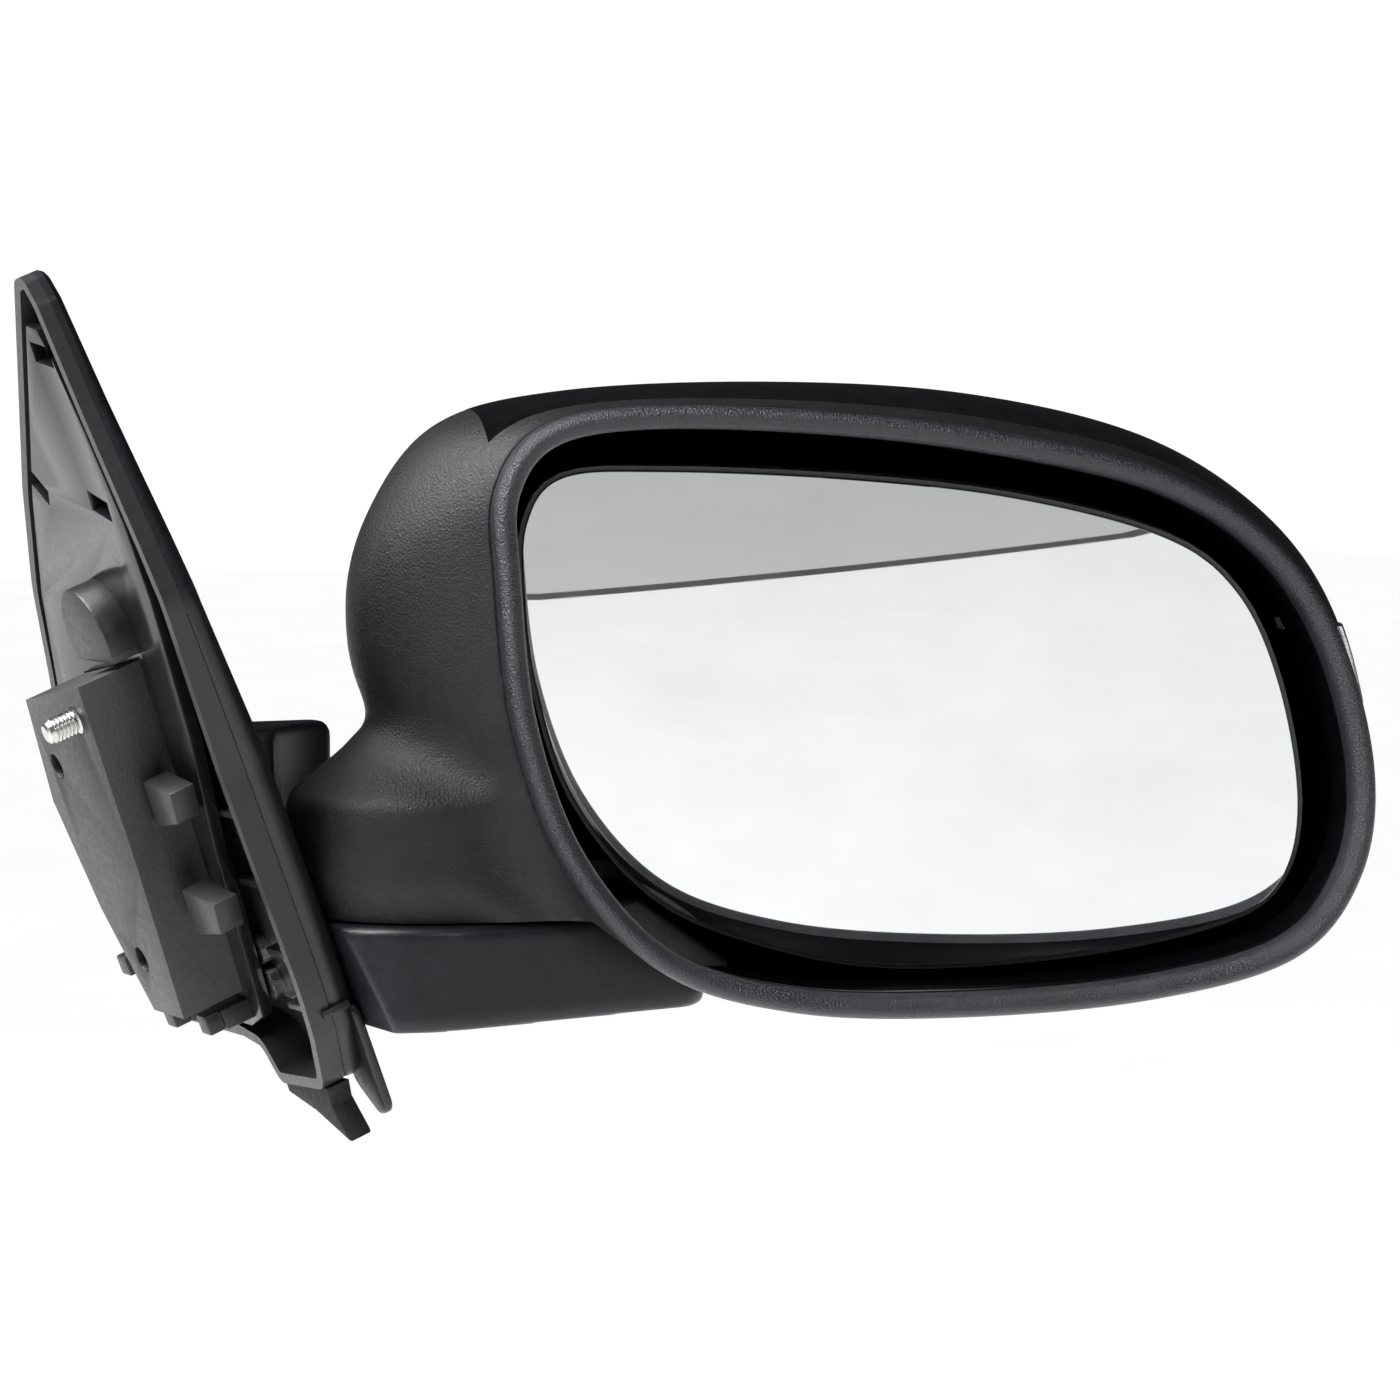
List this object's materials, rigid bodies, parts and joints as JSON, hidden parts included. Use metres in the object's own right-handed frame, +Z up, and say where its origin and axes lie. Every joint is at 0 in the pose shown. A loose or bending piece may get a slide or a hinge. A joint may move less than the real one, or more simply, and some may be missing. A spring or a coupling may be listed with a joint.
{
  "type": "car side mirror",
  "caption": "Folding car door mirror with a sail base, hollow fold pivot, textured head shell, gloss skull cap, side signal and a two-axis powered convex glass.",
  "frame": {"origin": "point on the sail's flat door face, which leans 22 degrees inboard at the top", "axes": "+X outboard, away from the car; +Y forwards in the car's direction, along the belt line; +Z up"},
  "size_m": [0.3226, 0.2029, 0.2043],
  "materials": {
    "satin_black": "satin",
    "panel_black": "semi-gloss",
    "cast_black": "semi-gloss paint on a casting",
    "zinc_steel": "zinc plated",
    "moulded_black": "moulded",
    "seal_rubber": "matt",
    "sintered_steel": "sintered and greased",
    "spring_steel": "oil-blackened wire",
    "bush_bronze": "turned",
    "frame_plastic": "glass-filled",
    "textured_black": "fine textured grain",
    "textured_bead": "fine textured grain, worn brighter",
    "gloss_black": "gloss",
    "lens_clear": "clear moulded",
    "reflector_chrome": "metallised",
    "board_green": "solder mask",
    "led_resin": "resin",
    "actuator_white": "natural moulding",
    "gear_white": "natural moulding",
    "heater_foil": "printed foil",
    "mirror_silver": "silvered convex glass"
  },
  "bodies": {
    "base": {"sail_cover": "satin_black", "base_plate": "panel_black", "base_bracket": "cast_black", "mounting_stud": "zinc_steel", "bracket_screws": "zinc_steel", "bracket_clips": "moulded_black", "arch_tab": "moulded_black", "retaining_clips": "moulded_black", "belt_seal": "seal_rubber", "cable_grommet": "seal_rubber", "foot_arm": "satin_black", "foot_bottom_cover": "moulded_black", "pivot_post": "zinc_steel", "post_screws": "zinc_steel", "lower_detent_ring": "sintered_steel", "fold_spring": "spring_steel", "spring_retainer": "zinc_steel"},
    "head": {"upper_detent_ring": "sintered_steel", "hub_bush": "bush_bronze", "head_frame": "frame_plastic", "frame_screws": "zinc_steel", "head_housing": "textured_black", "skull_cap": "gloss_black", "rim_bezel": "textured_bead", "inner_funnel": "gloss_black", "signal_lens": "lens_clear", "signal_housing": "reflector_chrome", "signal_board": "board_green", "signal_leds": "led_resin", "actuator_base": "actuator_white", "actuator_cover": "actuator_white", "actuator_screws": "zinc_steel", "actuator_socket": "moulded_black", "tilt_motor": "zinc_steel", "pan_motor": "zinc_steel"},
    "gimbal": {"gimbal_ring": "actuator_white"},
    "glass": {"glass_holder": "moulded_black", "heater_pad": "heater_foil", "mirror_glass": "mirror_silver"},
    "tilt_jack": {"tilt_jack": "gear_white"},
    "pan_jack": {"pan_jack": "gear_white"},
    "tilt_gear": {"tilt_gear": "gear_white"},
    "pan_gear": {"pan_gear": "gear_white"},
    "tilt_worm": {"tilt_worm": "bush_bronze"},
    "pan_worm": {"pan_worm": "bush_bronze"}
  },
  "joints": [
    {"name": "head_fold", "type": "hinge", "parent": "base", "child": "head", "pos_m": [0.054, -0.027, 0], "axis": [0, 0, 1], "range_deg": [-65, 45]},
    {"name": "glass_tilt", "type": "hinge", "parent": "head", "child": "gimbal", "pos_m": [0.15953, -0.06723, 0.02], "axis": [0.9659, -0.2588, 0], "range_deg": [-17, 1]},
    {"name": "glass_pan", "type": "hinge", "parent": "gimbal", "child": "glass", "pos_m": [0.15953, -0.06723, 0.02], "axis": [-0.036, -0.1344, 0.9903], "range_deg": [-3, 15]},
    {"name": "tilt_jack_slide", "type": "slide", "parent": "head", "child": "tilt_jack", "axis": [0.2588, 0.9659, 0], "range_m": [-0.0086, 0.0008]},
    {"name": "pan_jack_slide", "type": "slide", "parent": "head", "child": "pan_jack", "axis": [0.2588, 0.9659, 0], "range_m": [-0.0018, 0.0078]},
    {"name": "tilt_gear_spin", "type": "hinge", "parent": "head", "child": "tilt_gear", "pos_m": [0.16367, -0.05177, -0.008], "axis": [0.2588, 0.9659, 0], "range_deg": [-760, 60]},
    {"name": "pan_gear_spin", "type": "hinge", "parent": "head", "child": "pan_gear", "pos_m": [0.19071, -0.05902, 0.02], "axis": [0.2588, 0.9659, 0], "range_deg": [-145, 670]},
    {"name": "tilt_worm_spin", "type": "hinge", "parent": "head", "child": "tilt_worm", "pos_m": [0.1638, -0.05129, 0.0028], "axis": [0.9659, -0.2588, 0], "range_deg": [-18100, 1200]},
    {"name": "pan_worm_spin", "type": "hinge", "parent": "head", "child": "pan_worm", "pos_m": [0.18041, -0.05574, 0.02], "axis": [0, 0, 1], "range_deg": [-3300, 15950]}
  ],
  "couplings": [
    {"joint": "tilt_jack_slide", "follows": "glass_tilt", "m_per_rad": 0.0279},
    {"joint": "pan_jack_slide", "follows": "glass_pan", "m_per_rad": 0.0279},
    {"joint": "tilt_gear_spin", "follows": "glass_tilt", "ratio": 43.825},
    {"joint": "pan_gear_spin", "follows": "glass_pan", "ratio": 43.825},
    {"joint": "tilt_worm_spin", "follows": "glass_tilt", "ratio": 1051.8},
    {"joint": "pan_worm_spin", "follows": "glass_pan", "ratio": 1051.8}
  ]
}
